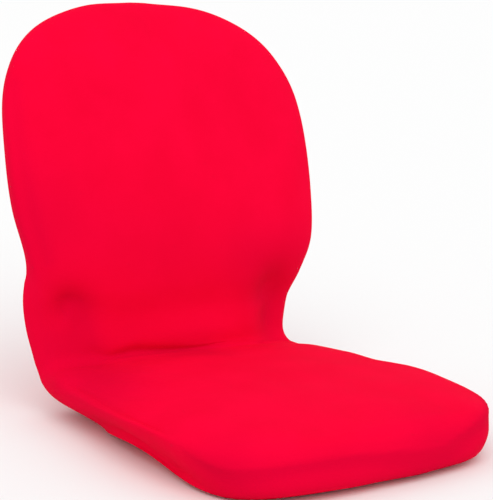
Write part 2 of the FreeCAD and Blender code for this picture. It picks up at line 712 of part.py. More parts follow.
def make_rear_pad(core):
    """Thin padding behind the panel, with a hole for each bolt head and room for the upright."""
    pad = core.common(above_rib(NECK_RIB)).common(behind_panel(0.0))
    half = UPRIGHT_WIDTH / 2 + POCKET_MARGIN
    foot_room = block(-half, half, 0.0, UPRIGHT_FOOT_Y + UPRIGHT_T + POCKET_MARGIN,
                      0.0, PANEL_FOOT_Z)
    holes = [cylinder(HEAD_POCKET_R, on_panel(x, rise, 0), panel_normal() * -1, BACK_THICK)
             for x, rise in back_bolt_places]
    bottom = -M8_HEAD_T - M8_WASHER_T - HEAD_POCKET_GAP
    heads = [h.common(behind_panel(0.0)).cut(behind_panel(bottom)) for h in holes]
    return pad.cut(group(heads)).cut(foot_room)


# ---- cover ----

def make_covers(core):
    """The stretch cover, divided where it passes over the waist."""
    skin = envelope(0.0).cut(core)
    skin = skin.cut(hem_prism(HEM_TURN, 0.0, PAN_Z))
    back = skin.common(above_rib(NECK_RIB))
    seat = skin.cut(above_rib(CREASE_RIB))
    waist = skin.common(above_rib(CREASE_RIB)).cut(above_rib(NECK_RIB))
    return back, waist, seat


def make_hem_elastic():
    """Round elastic that lies in the hem's tunnel."""
    wire = hem_outline(HEM_TURN - ELASTIC_INSET).OuterWire
    wire.translate(V(0, 0, HEM_Z + COVER_T + ELASTIC_R))
    start = wire.Edges[0].valueAt(wire.Edges[0].FirstParameter)
    direction = wire.Edges[0].tangentAt(wire.Edges[0].FirstParameter)
    section = Part.Wire([Part.makeCircle(ELASTIC_R, start, direction)])
    return wire.makePipeShell([section], True, False)


def build():
    core = envelope(COVER_T)
    left = make_bracket()
    bracket_bolts, bracket_washers, bracket_nuts = make_bracket_fasteners()
    back_bolts, back_washers, back_nuts = make_back_fasteners()
    back_cover, waist_cover, seat_cover = make_covers(core)
    return {
        "seat_shell": make_seat_shell(),
        "seat_pan": make_seat_pan(),
        "seat_foam": make_seat_foam(core),
        "seat_cover": seat_cover,
        "waist_cover": waist_cover,
        "hem_elastic": make_hem_elastic(),
        "base_inserts": make_base_inserts(),
        "shell_screws": make_shell_screws(),
        "hinge_bracket_left": left,
        "hinge_bracket_right": mirror_x(left),
        "bracket_bolts": bracket_bolts,
        "bracket_washers": bracket_washers,
        "bracket_nuts": bracket_nuts,
        "stop_block": make_stop_block(),
        "stop_screws": make_stop_screws(),
        "pivot_bolt": make_pivot_bolt(),
        "pivot_nut": make_pivot_nut(),
        "pivot_washers": make_pivot_washers(),
        "pivot_sleeve": make_pivot_sleeve(),
        "torsion_rubber": tube_ring(RUBBER_R, SLEEVE_R + RUNNING_GAP),
        "pivot_tube": tube_ring(TUBE_R, RUBBER_R),
        "stop_lug": make_stop_lug(),
        "back_upright": make_back_upright(),
        "back_panel": make_back_panel(),
        "back_foam": make_back_foam(core),
        "rear_pad": make_rear_pad(core),
        "back_cover": back_cover,
        "back_bolts": back_bolts,
        "back_washers": back_washers,
        "back_nuts": back_nuts,
    }


os.makedirs("parts", exist_ok=True)
for name, shape in build().items():
    solids = shape.Solids
    out = solids[0] if len(solids) == 1 else Part.makeCompound(solids)
    out.exportStep("parts/" + name + ".step")
    box = out.BoundBox
    print(name, len(solids), out.isValid(), round(out.Volume),
          [round(v, 1) for v in (box.XMin, box.XMax, box.YMin, box.YMax, box.ZMin, box.ZMax)])
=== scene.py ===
import bpy
import json
import math
import numpy as np
from mathutils import Matrix, Vector


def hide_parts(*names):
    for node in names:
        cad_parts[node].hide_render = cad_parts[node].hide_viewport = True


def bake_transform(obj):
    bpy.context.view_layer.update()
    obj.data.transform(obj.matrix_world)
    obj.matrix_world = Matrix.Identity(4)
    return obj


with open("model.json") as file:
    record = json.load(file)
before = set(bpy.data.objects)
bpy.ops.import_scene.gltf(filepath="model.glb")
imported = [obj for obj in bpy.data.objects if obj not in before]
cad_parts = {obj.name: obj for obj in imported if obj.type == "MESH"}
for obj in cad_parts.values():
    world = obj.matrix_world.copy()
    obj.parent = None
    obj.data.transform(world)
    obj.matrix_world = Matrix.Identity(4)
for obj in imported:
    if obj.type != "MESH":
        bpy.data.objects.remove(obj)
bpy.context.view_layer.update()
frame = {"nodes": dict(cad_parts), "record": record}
nodes = frame["nodes"]

# A padded seat and backrest in a one-piece stretch cover. Metres; the sitter faces -Y.

# ---- outer shape, as in the part's source ----
BACK_TOP_Z = 0.500
BACK_WIDE_Z = 0.320
BACK_HALF = 0.2365
BACK_REAR_STEP = 0.018
BACK_THICK = 0.067
HEAD_POWER = 2.54
HEAD_RIBS = 6
HEAD_LAST_ANGLE = 88.6
LUMBAR_Y = 0.1845
LUMBAR_Z = 0.196
LUMBAR_TAPER = 0.011
BACK_TILT = math.radians(14.0)
BACK_SWEEP_R = 1.520
CROWN_SQUARENESS = 2.4
CROWN_EASE = 1.2
BACK_SQUARENESS = 3.4
NOTCH = ((0.148, 0.161), (0.225, 0.139), (0.037, 0.017))
NECK = ((0.1525, 0.123), (0.229, 0.101), (0.056, 0.020))
WAIST = ((0.149, 0.087), (0.224, 0.064), (0.063, 0.030))
WAIST_SQUARENESS = 3.1
CREASE = (0.149, 0.065)
CREASE_HALF = (BACK_HALF - 0.052, BACK_HALF - 0.042)
CREASE_SQUARENESS = 3.4
SEAT_REAR = (0.216, 0.041)
SEAT_TOP_Z = 0.079
SEAT_HALF = (0.241, 0.172)
REAR_TUCK = 0.031
TOP_STEPS = (0.23, 0.56, 1.0)
TOP_SQUARENESS = 3.8
NOSE_START_Y = -0.130
SEAT_FRONT_Y = -0.241
NOSE_Z = 0.014
NOSE_POWER = 2.8
NOSE_ANGLES = (43.0, 75.0, 90.0)
NOSE_TAPERS = ((0.001, 0.004), (0.013, 0.012), (0.027, 0.018))
SEAT_SQUARENESS = 4.0
HEM_Z = 0.003
HEM_FRONT_Y = -0.220
HEM_REAR_Y = 0.164
HEM_HALF = (SEAT_HALF[0] - 0.027, SEAT_HALF[1] - 0.022)
ELASTIC_IN = 0.038
ELASTIC_R = 0.003

# ---- the cover's mesh ----
ROW_STEP = 0.0042
ROW_SAMPLES = 30
TRAVEL_WEIGHTS = (0.7, 0.3, 0.4)    # how much front, rear and side count in a row's step
RING_POINTS = 288
RING_SAMPLES = 8            # finer points on a ring for each even one
LINE_SAMPLES = 12
LINE_REACH = 0.025          # a line marks only the surface this near to it
FABRIC_T = 0.002
HEM_STEP = 0.004
TURNED_Z = 0.002
HEM_FOLLOWS = 0.030         # how far in the turned hem still moves with the cover's edge
ROLL_GAP = 0.001
ROLL_DEGREES = range(-60, 181, 30)
TAIL = ((0.033, 0.013), (0.040, 0.0145), (0.060, 0.015), (0.100, 0.015))  # inset and height
HEM_FADE_ROWS = 4           # rows above the hem over which the pressed forms fade

# ---- the cloth's simulation ----
CLOTH_EVERY = 2             # the simulated mesh has every second row and point
CLOTH_FRAMES = 20
CLOTH_SETTINGS = {"quality": 6, "mass": 0.2, "tension_stiffness": 80, "compression_stiffness": 80,
                  "shear_stiffness": 30, "bending_stiffness": 4, "use_pressure": True,
                  "uniform_pressure_force": 4.0, "vertex_group_mass": "held"}
HELD_ROWS = 8               # rows above the hem over which the hold builds up
HELD_MOST = 0.9
START_INSIDE = 0.003        # how much smaller it starts
SWELL_CAP = 0.0035          # the furthest that the cover stands off its padding
SWELL_EASE = 0.020          # how softly the cap is reached
PADDING_GIVES = 0.0003      # how far the padding lets the cover sink in

# ---- forms pressed into the padding and the cover: places read from the photograph ----
# A pair with FROM or TO in its name is a ramp: where it starts to rise or has fallen, and its length.
NEAR_DIMPLE = ((-0.170, 0.159, 0.143), (-0.160, 0.159, 0.140), (-0.151, 0.159, 0.130),
               (-0.146, 0.159, 0.114), (-0.144, 0.158, 0.098), (-0.140, 0.157, 0.086))
NEAR_DIMPLE_DEPTH = 0.012
NEAR_DIMPLE_WIDTH = 0.021
NEAR_DIMPLE_FADE = 0.75     # how much of its depth is lost along its line
NEAR_DIMPLE_LAST = 0.8      # by which share of the line
FAR_DIMPLE = ((0.146, 0.158, 0.132), (0.156, 0.162, 0.116), (0.150, 0.160, 0.100))
FAR_DIMPLE_DEPTH = 0.014
FAR_DIMPLE_WIDTH = 0.033
NECK_FILL = (0.045, 0.092)  # x and z of the bulge between the two recesses
NECK_FILL_WIDTH = 0.085
NECK_FILL_RISE = 0.034
NECK_FILL_HEIGHT = 0.005
FACING_FRONT = 0.5          # a surface counts in full once its normal points this far forward

CREASE_LINE = ((-0.146, 0.158, 0.091), (-0.139, 0.157, 0.081), (-0.117, 0.156, 0.073),
               (-0.097, 0.153, 0.075), (-0.076, 0.151, 0.077), (-0.030, 0.150, 0.071),
               (0.000, 0.148, 0.066), (0.025, 0.145, 0.063), (0.057, 0.142, 0.062),
               (0.126, 0.142, 0.062))
CREASE_DEPTH = 0.0060
CREASE_WIDTH = 0.0080
CREASE_FROM = (-0.05, 0.45)
CREASE_TO = (0.95, 0.40)
CREASE_LEFT = 0.25          # what is left of it at its far end
FOLD_ROWS = 6               # how many rows the fold's rounding reaches
FOLD_PASSES = 30
FOLD_EASE = 0.25            # how much of its bend each row loses in a pass
FOLD_FILL = 0.004           # how far the cover bridges the fold
FOLD_WIDTH = 0.024
BRIDGE_TO = (0.150, 0.080)

FRONT_EDGE = ((-0.218, -0.090, 0.068), (-0.218, -0.120, 0.062), (-0.216, -0.147, 0.053),
              (-0.201, -0.188, 0.043), (-0.177, -0.213, 0.044), (-0.134, -0.227, 0.048),
              (-0.073, -0.234, 0.048), (-0.005, -0.236, 0.043), (0.067, -0.239, 0.038),
              (0.107, -0.236, 0.046), (0.146, -0.227, 0.055), (0.190, -0.205, 0.061),
              (0.212, -0.160, 0.064), (0.220, -0.110, 0.066))
EDGE_FROM = (0.12, 0.15)
EDGE_TO = (1, 0.12)
CREST_HEIGHT = 0.0026
CREST_WIDTH = 0.008
HOLLOW_DEPTH = 0.0022       # of the band below the front edge
HOLLOW_BELOW = 0.014
HOLLOW_HEIGHT = 0.010
HOLLOW_WIDTH = 0.030

EDGE_SOFT = 0.008           # how much rounder the near edge of the seat is
SOFT_FROM_Y = (-0.140, 0.060)
SOFT_TO_Y = (0.150, 0.050)
SOFT_TO_X = (-0.100, 0.060)

SIDE_RIDGE = ((-0.211, 0.193, 0.165), (-0.202, 0.196, 0.121), (-0.190, 0.190, 0.071))
STRIP_EDGE = ((-0.212, 0.230, 0.403), (-0.217, 0.214, 0.363), (-0.218, 0.201, 0.328),
              (-0.216, 0.189, 0.293), (-0.213, 0.178, 0.259), (-0.207, 0.168, 0.224),
              (-0.201, 0.162, 0.198))
PULL_MARK = ((-0.204, -0.092, 0.022), (-0.197, -0.108, 0.017))
SMALL_FOLDS = ((SIDE_RIDGE, 0.0018, 0.008), (STRIP_EDGE, -0.0010, 0.006),
               (PULL_MARK, 0.0014, 0.003))      # line, height and width

SEAM_INSET = 0.022          # seam to the edge of the back's rear side
SEAM_DEPTH = 0.0016
SEAM_WIDTH = 0.0035
FACING_REAR_FROM = (0.35, 0.3)
SEAM_FROM_Z = (0.060, 0.030)

LOW_Z = 0.045               # the hem's moves end this high
LOWEST_Z = 0.026
SIDES_FROM = (0.130, 0.040)
FRONT_TO = (-0.180, 0.035)
NOSE_TUCK = 0.004           # how far the front wall runs in below the front edge
NOSE_SINK = 0.0020          # how far the front's lower edge hangs towards the far side
SINK_FROM_X = (-0.120, 0.120)
HEM_ARCH = 0.0180           # how far the lower edge is pulled up along the sides
ARCH_Y = -0.014
ARCH_LENGTH = 0.090
HEM_OUT = 0.018             # how far it stands out there
OUT_Y = 0.010
OUT_LENGTH = 0.080
REAR_IN = 0.008             # how far it is drawn in at the rear corners
REAR_CORNER_Y = 0.150
REAR_CORNER_LENGTH = 0.035

WAVE_COUNT = 7
WAVE_HEIGHT = 0.0016
WAVE_TURN = 2.4             # angle from one wave's direction to the next
WAVE_LENGTH = 0.055
WAVE_LENGTH_STEP = 0.013
WAVE_SHIFT = 1.7

# ---- painted shade: where the knit's colour is darkened as if shade fell there ----
NEAR_SHADE = 0.8
NEAR_SHADE_WIDTH = 0.019
NEAR_SHADE_FADE = 0.5
FAR_SHADE_WIDTH = 0.036
CREASE_SHADE = 0.75
CREASE_SHADE_WIDTH = 0.0085
SEAT_SHADE = 0.30           # on the seat in front of the crease
SEAT_SHADE_WIDTH = 0.026
SEAT_SHADE_TO = (0.92, 0.30)
FACING_UP_FROM = (0.20, 0.40)
WALL_SHADE = 0.80           # on the front wall
WALL_SHADE_WIDTH = 0.050
WALL_TO = (0.002, 0.006)
WALL_FROM = (0.10, 0.16)
CREST_SHADE = 0.35
CREST_SHADE_OFF = 0.004
CREST_SHADE_WIDTH = 0.010
SIDE_SHADE = 0.15           # on the waist's side
FACING_SIDE = 0.8           # as far as this sideways
SIDE_SHADE_FROM_Z = (0.030, 0.040)
SIDE_SHADE_FROM_Y = (0.090, 0.060)
STRIP_SHADE = 0.30
STRIP_SHADE_WIDTH = 0.010
SHADE_SPOTS = (             # x, y, z, radius and how much shade is painted there
    (-0.061, 0.150, 0.195, 0.070, 0.25), (0.000, 0.149, 0.190, 0.070, 0.25),
    (0.095, 0.149, 0.170, 0.050, 0.45), (-0.172, 0.166, 0.092, 0.042, 0.60),
    (-0.205, 0.168, 0.215, 0.060, 0.30), (-0.085, 0.151, 0.096, 0.036, 0.30),
    (-0.160, 0.118, 0.064, 0.052, 0.70), (0.150, 0.158, 0.185, 0.050, 0.35),
    (-0.175, 0.075, 0.070, 0.045, 0.45), (0.020, 0.125, 0.066, 0.040, 0.35),
    (-0.162, 0.168, 0.139, 0.014, 0.50), (-0.030, 0.128, 0.070, 0.032, 0.45),
    (0.010, 0.116, 0.070, 0.032, 0.45), (0.065, -0.238, 0.044, 0.048, 0.45),
    (-0.192, -0.196, 0.055, 0.038, 0.40), (-0.188, 0.029, 0.065, 0.045, 0.45),
    (-0.210, 0.180, 0.265, 0.065, 0.35), (0.085, 0.152, 0.190, 0.050, 0.20),
    (0.187, 0.157, 0.191, 0.040, 0.25), (-0.128, 0.158, 0.227, 0.050, 0.20))

# ---- sizes and colours of the materials ----
WALE = 0.0016               # width of one column of knit loops
COURSE = 0.0013             # height of one row of loops
LOOP_SLANT = 2.5            # how far the rows dip in each column
LOOP_ROWS = 0.35            # how high the rows stand beside the columns
FUZZ = 0.35                 # how much fine fibre shows in the knit's tone
KNIT_DARK = (0.815, 0.0010, 0.031)
KNIT_LIGHT = (0.855, 0.0012, 0.036)
# painted shade: the deeper red that the knit's colour is mixed toward where shade is painted
KNIT_PAINTED_SHADE = (0.690, 0.0006, 0.031)
BRAID = 0.0020              # one turn of the elastic's braid
PLY = 0.0015                # thickness of one ply

# ---- light and camera ----
FRAME_W = 493
FRAME_H = 500
SKY = 0.93                  # light from all round
SUN = 0.33                  # light from the front left
SUN_SPREAD = math.radians(55)
SUN_TOWARD = (-0.38, -0.55, 0.74)
FLOOR = 0.84                # the floor's colour
FLOOR_SIZE = 80


# ---- the cover's ribs: front y and z, rear y and z, half width front and rear, squareness ----

def back_row(z, scale, half, level):
    rise = z - LUMBAR_Z
    lean = math.tan(BACK_TILT)
    slope = math.atan(lean + rise / BACK_SWEEP_R) * (1 - level)
    y = LUMBAR_Y + lean * rise + rise * rise / (2 * BACK_SWEEP_R)
    dy = BACK_THICK * scale / 2 * math.cos(slope)
    dz = BACK_THICK * scale / 2 * math.sin(slope)
    squareness = min(BACK_SQUARENESS, CROWN_SQUARENESS + CROWN_EASE * scale)
    return [y - dy, z + dz, y + dy, z - dz, half, half - BACK_REAR_STEP * scale, squareness]


def head_rows():
    rows = []
    for step in range(HEAD_RIBS, -1, -1):
        angle = math.radians(min(90.0 * step / HEAD_RIBS, HEAD_LAST_ANGLE))
        rise = math.sin(angle) ** (2 / HEAD_POWER)
        scale = math.cos(angle) ** (2 / HEAD_POWER)
        z = BACK_WIDE_Z + (BACK_TOP_Z - BACK_WIDE_Z) * rise
        rows.append(back_row(z, scale, BACK_HALF * scale, rise ** 3))
    return rows


def waist_rows():
    rows = [back_row((BACK_WIDE_Z + LUMBAR_Z) / 2, 1.0, BACK_HALF, 0.0),
            back_row(LUMBAR_Z, 1.0, BACK_HALF - LUMBAR_TAPER, 0.0)]
    for front, rear, taper in (NOTCH, NECK, WAIST):
        rows.append([*front, *rear, BACK_HALF - taper[0], BACK_HALF - taper[1],
                     WAIST_SQUARENESS])
    rows.append([*CREASE, *SEAT_REAR, *CREASE_HALF, CREASE_SQUARENESS])
    return rows


def seat_rows():
    rows = []
    for step in TOP_STEPS:
        rows.append([CREASE[0] + (NOSE_START_Y - CREASE[0]) * step,
                     CREASE[1] + (SEAT_TOP_Z - CREASE[1]) * (1 - (1 - step) ** 4),
                     SEAT_REAR[0] - REAR_TUCK * step,
                     HEM_Z + (SEAT_REAR[1] - HEM_Z) * (1 - step) ** 3,
                     CREASE_HALF[0] + (SEAT_HALF[0] - CREASE_HALF[0]) * step,
                     CREASE_HALF[1] + (SEAT_HALF[1] - CREASE_HALF[1]) * step,
                     TOP_SQUARENESS])
    tuck = SEAT_REAR[0] - REAR_TUCK
    for index, (degrees, taper) in enumerate(zip(NOSE_ANGLES, NOSE_TAPERS), 1):
        out = math.sin(math.radians(degrees)) ** (2 / NOSE_POWER)
        up = max(math.cos(math.radians(degrees)), 0.0) ** (2 / NOSE_POWER)
        share = index / (len(NOSE_ANGLES) + 1)
        rows.append([NOSE_START_Y + (SEAT_FRONT_Y - NOSE_START_Y) * out,
                     NOSE_Z + (SEAT_TOP_Z - NOSE_Z) * up,
                     tuck + (HEM_REAR_Y - tuck) * share, HEM_Z,
                     SEAT_HALF[0] - taper[0], SEAT_HALF[1] - taper[1], SEAT_SQUARENESS])
    rows.append(hem_row(0.0, HEM_Z))
    return rows


def hem_row(inset, z):
    """Row of the turned-in hem, drawn in from the cover's lower edge."""
    return [HEM_FRONT_Y + inset, z, HEM_REAR_Y - inset, z,
            HEM_HALF[0] - inset, HEM_HALF[1] - inset, SEAT_SQUARENESS]


def catmull_rom(keys, samples):
    """Smooth rows through the key rows."""
    keys = np.asarray(keys, float)
    padded = np.vstack([2 * keys[0] - keys[1], keys, 2 * keys[-1] - keys[-2]])
    t = np.linspace(0, 1, samples, endpoint=False)[:, None]
    out = []
    for a, b, c, d in zip(padded, padded[1:], padded[2:], padded[3:]):
        out.append(0.5 * (2 * b + (c - a) * t + (2 * a - 5 * b + 4 * c - d) * t ** 2
                          + (3 * b - a - 3 * c + d) * t ** 3))
    out.append(keys[-1:])
    return np.vstack(out)


def even_rows(rows, step):
    """Rows resampled so that neighbours are about a step apart."""
    fine = catmull_rom(rows, ROW_SAMPLES)
    front = np.hypot(*np.diff(fine[:, 0:2], axis=0).T)
    rear = np.hypot(*np.diff(fine[:, 2:4], axis=0).T)
    side = np.abs(np.diff(fine[:, 4]))
    front_share, rear_share, side_share = TRAVEL_WEIGHTS
    apart = front_share * front + rear_share * rear + side_share * side
    travel = np.concatenate([[0.0], np.cumsum(apart)])
    at = np.linspace(0, travel[-1], int(round(travel[-1] / step)) + 1)
    return np.stack([np.interp(at, travel, fine[:, k]) for k in range(fine.shape[1])], 1)


def ring(row, count):
    """Evenly spaced points of one row's rounded rectangle, from the middle of its rear side."""
    front_y, front_z, rear_y, rear_z, half_front, half_rear, power = row
    angle = math.pi / 2 + np.linspace(0, 2 * math.pi, RING_SAMPLES * count + 1)
    c = np.cos(angle)
    s = np.sin(angle)
    radius = (np.abs(c) ** power + np.abs(s) ** power) ** (-1 / power)
    along = (radius * s + 1) / 2
    points = np.stack([(half_front + (half_rear - half_front) * along) * radius * c,
                       front_y + (rear_y - front_y) * along,
                       front_z + (rear_z - front_z) * along], 1)
    length = np.linalg.norm(np.diff(points, axis=0), axis=1)
    travel = np.concatenate([[0.0], np.cumsum(length)])
    at = np.linspace(0, travel[-1], count, endpoint=False)
    return np.stack([np.interp(at, travel, points[:, k]) for k in range(3)], 1)


# ---- grids of points ----

def grid_normals(grid):
    """Outward unit normals of a grid of rings."""
    down = np.gradient(grid, axis=0)
    around = np.roll(grid, -1, 1) - np.roll(grid, 1, 1)
    normals = np.cross(down, around)
    return normals / np.maximum(np.linalg.norm(normals, axis=-1, keepdims=True), 1e-12)


def grid_faces(rings, count):
    """Faces of a grid of rings, closed by a fan at each end."""
    at = np.arange(rings * count).reshape(rings, count)
    after = np.roll(at, -1, 1)
    quads = np.stack([at[:-1], at[1:], after[1:], after[:-1]], -1).reshape(-1, 4)
    top = rings * count
    faces = [tuple(q) for q in quads.tolist()]
    faces += [(top, a, b) for a, b in zip(at[0].tolist(), after[0].tolist())]
    faces += [(top + 1, b, a) for a, b in zip(at[-1].tolist(), after[-1].tolist())]
    return faces


def grid_mesh(name, grid):
    rings, count = grid.shape[:2]
    points = np.vstack([grid.reshape(-1, 3), grid[0].mean(0), grid[-1].mean(0)])
    mesh = bpy.data.meshes.new(name)
    mesh.from_pydata(points.tolist(), [], grid_faces(rings, count))
    mesh.polygons.foreach_set("use_smooth", [True] * len(mesh.polygons))
    mesh.update()
    obj = bpy.data.objects.new(name, mesh)
    bpy.context.scene.collection.objects.link(obj)
    return obj


def ramp_up(value, start, length):
    """0 before the start and 1 from a length after it, with a smooth step between."""
    t = np.clip((value - start) / length, 0.0, 1.0)
    return t * t * (3 - 2 * t)


def ramp_down(value, end, length):
    """1 until a length before the end and 0 after it, with a smooth step between."""
    t = np.clip((end - value) / length, 0.0, 1.0)
    return t * t * (3 - 2 * t)


def bump(distance, width):
    """1 on a line or point, falling smoothly to 0 about two widths away."""
    return np.exp(-(distance / width) ** 2)


def off_line(grid, normals, line):
    """Distance over the surface to a smooth line, height above it and share along it."""
    best = np.full(grid.shape[:-1], np.inf)
    above = np.zeros(grid.shape[:-1])
    share = np.zeros(grid.shape[:-1])
    corners = catmull_rom(line, LINE_SAMPLES)
    count = len(corners) - 1
    for index in range(count):
        a = corners[index]
        run = corners[index + 1] - a
        t = np.clip(((grid - a) @ run) / (run @ run), 0, 1)
        off = grid - (a + t[..., None] * run)
        depth = (off * normals).sum(-1)
        distance = np.linalg.norm(off - depth[..., None] * normals, axis=-1)
        distance = np.where(np.abs(depth) < LINE_REACH, distance, np.inf)
        nearer = distance < best
        best = np.where(nearer, distance, best)
        above = np.where(nearer, off[..., 2], above)
        share = np.where(nearer, (index + t) / count, share)
    return best, above, share


# ---- cloth: the cover is blown up a little inside its cap ----

def upsampled(field, shape, every):
    """A field on every nth row and point, spread to all of them."""
    rings, count = shape
    rows = np.arange(rings) / every
    low = np.minimum(rows.astype(int), field.shape[0] - 1)
    high = np.minimum(low + 1, field.shape[0] - 1)
    part = (rows - low)[:, None, None]
    tall = field[low] * (1 - part) + field[high] * part
    cols = np.arange(count) / every
    left = cols.astype(int) % field.shape[1]
    right = (left + 1) % field.shape[1]
    part = (cols - cols.astype(int))[None, :, None]
    return tall[:, left] * (1 - part) + tall[:, right] * part


def cloth_object(start, held):
    """The cloth at its start, with its hem held."""
    obj = grid_mesh("cloth", start)
    group = obj.vertex_groups.new(name="held")
    count = start.shape[1]
    for index in np.nonzero(held > 0)[0].tolist():
        row = list(range(index * count, (index + 1) * count))
        group.add(row, float(held[index]), "REPLACE")
    cloth = obj.modifiers.new("cloth", "CLOTH")
    for name, value in CLOTH_SETTINGS.items():
        setattr(cloth.settings, name, value)
    cloth.settings.effector_weights.gravity = 0.0
    cloth.point_cache.frame_start = 1
    cloth.point_cache.frame_end = CLOTH_FRAMES
    return obj


def settled(obj, shape):
    """The places of the cloth's points after its last frame."""
    scene = bpy.context.scene
    for number in range(1, CLOTH_FRAMES + 1):
        scene.frame_set(number)
    deps = bpy.context.evaluated_depsgraph_get()
    mesh = obj.evaluated_get(deps).to_mesh()
    places = np.empty(len(mesh.vertices) * 3)
    mesh.vertices.foreach_get("co", places)
    bpy.data.objects.remove(obj, do_unlink=True)
    scene.frame_set(1)
    rings, count = shape
    return places.reshape(-1, 3)[:rings * count].reshape(rings, count, 3)


def swell(grid, normals, held):
    """Moves from a cloth simulation with air pressure inside, for each point of the grid."""
    rough = grid[::CLOTH_EVERY, ::CLOTH_EVERY]
    outward = normals[::CLOTH_EVERY, ::CLOTH_EVERY]
    rough_held = held[::CLOTH_EVERY]
    start = np.where(rough_held[:, None, None] > 0, rough, rough - outward * START_INSIDE)
    moved = settled(cloth_object(start, rough_held), start.shape[:2])
    lift = ((moved - start) * outward).sum(-1) - START_INSIDE
    lift = np.maximum(SWELL_CAP * np.tanh(lift / SWELL_EASE), -PADDING_GIVES)
    lift = np.where(rough_held[:, None] >= 1, 0.0, lift)[..., None]
    return upsampled(lift * outward, grid.shape[:2], CLOTH_EVERY)


# ---- the cover's rows ----

def softened(rows):
    """Rows with the fold between seat and back rounded off, as cloth bridges it."""
    rows = rows.copy()
    front = rows[:, 0:2]
    fold = np.argmin(np.linalg.norm(front - np.asarray(CREASE), axis=1))
    weight = bump(np.arange(len(rows)) - fold, FOLD_ROWS)[1:-1, None]
    for _ in range(FOLD_PASSES):
        front[1:-1] += FOLD_EASE * weight * (front[:-2] + front[2:] - 2 * front[1:-1])
    return rows


def cover_rows():
    """Rows from the crown to the end of the turned hem, and how far each follows its edge."""
    body = softened(even_rows(head_rows() + waist_rows() + seat_rows(), ROW_STEP))
    insets = np.arange(HEM_STEP, ELASTIC_IN, HEM_STEP)
    turned = [hem_row(inset, TURNED_Z) for inset in insets]
    roll = []
    radius = ELASTIC_R + ROLL_GAP
    for degrees in ROLL_DEGREES:
        angle = math.radians(degrees)
        roll.append(hem_row(ELASTIC_IN + radius * math.cos(angle),
                            HEM_Z + FABRIC_T + ELASTIC_R + radius * math.sin(angle)))
    tail = [hem_row(inset, z) for inset, z in TAIL]
    follows = np.concatenate([np.ones(len(body)), 1 - ramp_up(insets, 0.0, HEM_FOLLOWS),
                              np.zeros(len(roll) + len(tail))])
    return len(body), np.vstack([body, turned, roll, tail]), follows[:, None]


# ---- the forms pressed into the cover ----

def dimples(grid, normals):
    """Recesses at both ends of the waist, and the filled middle between them."""
    distance, _, share = off_line(grid, normals, NEAR_DIMPLE)
    kept = 1 - NEAR_DIMPLE_FADE * ramp_up(share, 0.0, NEAR_DIMPLE_LAST)
    depth = NEAR_DIMPLE_DEPTH * bump(distance, NEAR_DIMPLE_WIDTH) * kept
    distance, _, _ = off_line(grid, normals, FAR_DIMPLE)
    depth += FAR_DIMPLE_DEPTH * bump(distance, FAR_DIMPLE_WIDTH)
    middle = bump(grid[..., 0] - NECK_FILL[0], NECK_FILL_WIDTH)
    middle = middle * ramp_up(-normals[..., 1], 0.0, FACING_FRONT)
    depth -= NECK_FILL_HEIGHT * middle * bump(grid[..., 2] - NECK_FILL[1], NECK_FILL_RISE)
    return -normals * depth[..., None]


def crease_ends(share):
    """How strong the crease is along its line: full at the near side, fading at the far one."""
    kept = CREASE_LEFT + (1 - CREASE_LEFT) * ramp_down(share, *CREASE_TO)
    return ramp_up(share, *CREASE_FROM) * kept


def crease(grid, normals):
    """The line that the cover pulls tight across the waist, deepest at the near side."""
    distance, _, share = off_line(grid, normals, CREASE_LINE)
    bridged = ramp_down(grid[..., 0], *BRIDGE_TO)
    fold = bump(np.hypot(grid[..., 1] - CREASE[0], grid[..., 2] - CREASE[1]), FOLD_WIDTH)
    pressed = CREASE_DEPTH * bump(distance, CREASE_WIDTH) * crease_ends(share)
    return normals * (FOLD_FILL * bridged * fold - pressed)[..., None]


def front_edge(grid, normals):
    """The crest of the seat's front edge, and the hollow below it."""
    distance, above, share = off_line(grid, normals, FRONT_EDGE)
    ends = ramp_up(share, *EDGE_FROM) * ramp_down(share, *EDGE_TO)
    crest = CREST_HEIGHT * np.exp(-distance / CREST_WIDTH)
    hollow = HOLLOW_DEPTH * bump(above + HOLLOW_BELOW, HOLLOW_HEIGHT) * bump(distance, HOLLOW_WIDTH)
    return normals * ((crest - hollow) * ends)[..., None]


def near_edge(grid, normals):
    """The seat's near edge is rounder than the rest."""
    x, y, _ = np.moveaxis(grid, -1, 0)
    edge = np.clip(2 * np.abs(normals[..., 0]) * normals[..., 2], 0, 1)
    along = ramp_up(y, *SOFT_FROM_Y) * ramp_down(y, *SOFT_TO_Y)
    return -normals * (EDGE_SOFT * edge * along * ramp_down(x, *SOFT_TO_X))[..., None]


def small_folds(grid, normals):
    """The ridge and the strip at the side, and a pull at the near corner."""
    lift = np.zeros(grid.shape[:-1])
    for line, height, width in SMALL_FOLDS:
        distance, _, _ = off_line(grid, normals, line)
        lift += height * bump(distance, width)
    return normals * lift[..., None]


def rear_seam(grid, normals):
    """Seam round the back's rear side, a little inside its edge."""
    rear = ramp_up(normals[..., 1], *FACING_REAR_FROM)
    widest = np.abs(grid[..., 0]).max(1, keepdims=True)
    off = np.abs(grid[..., 0]) - (widest - BACK_REAR_STEP - SEAM_INSET)
    high = ramp_up(grid[..., 2], *SEAM_FROM_Z)
    return -normals * (SEAM_DEPTH * rear * high * bump(off, SEAM_WIDTH))[..., None]


